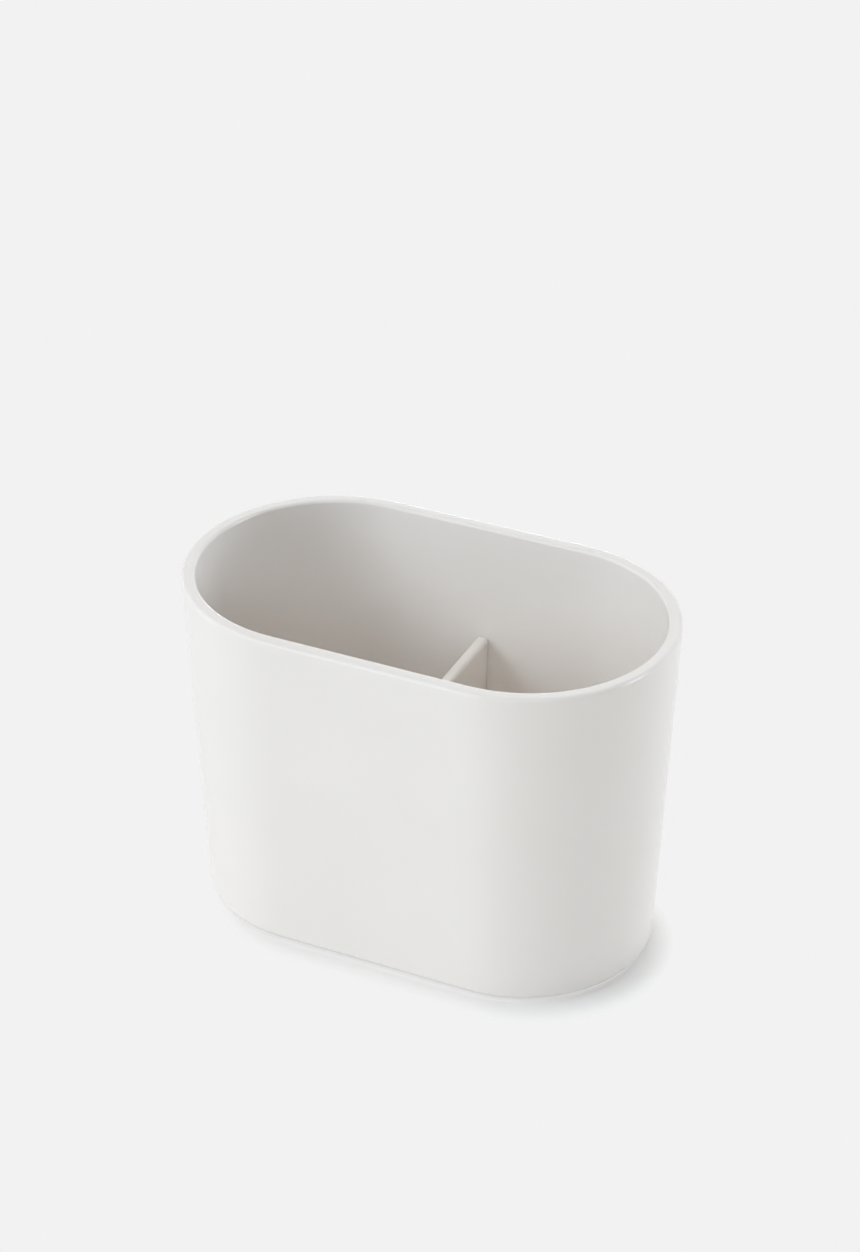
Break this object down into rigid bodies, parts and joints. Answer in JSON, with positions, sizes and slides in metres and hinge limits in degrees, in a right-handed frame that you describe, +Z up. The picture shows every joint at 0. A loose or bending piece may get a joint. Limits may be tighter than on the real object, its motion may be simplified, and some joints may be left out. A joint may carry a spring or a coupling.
{
  "type": "toothbrush holder",
  "caption": "Free-standing racetrack-shaped bathroom cup with drafted walls, a lift-out divider between its compartments and a non-slip ring under the base.",
  "frame": {"origin": "centre of the footprint, on the counter that the holder stands on", "axes": "+X along the cup's length, +Y across its width to the back, +Z up"},
  "size_m": [0.1268, 0.0748, 0.091],
  "materials": {
    "cup_plastic": "satin, injection moulded",
    "divider_plastic": "satin, injection moulded",
    "foot_elastomer": "soft, matt"
  },
  "bodies": {
    "cup": {"cup": "cup_plastic", "foot_ring": "foot_elastomer"},
    "divider": {"divider": "divider_plastic"}
  },
  "joints": [
    {"name": "divider_lift", "type": "slide", "parent": "cup", "child": "divider", "axis": [0, 0, 1], "range_m": [0, 0.09]}
  ]
}
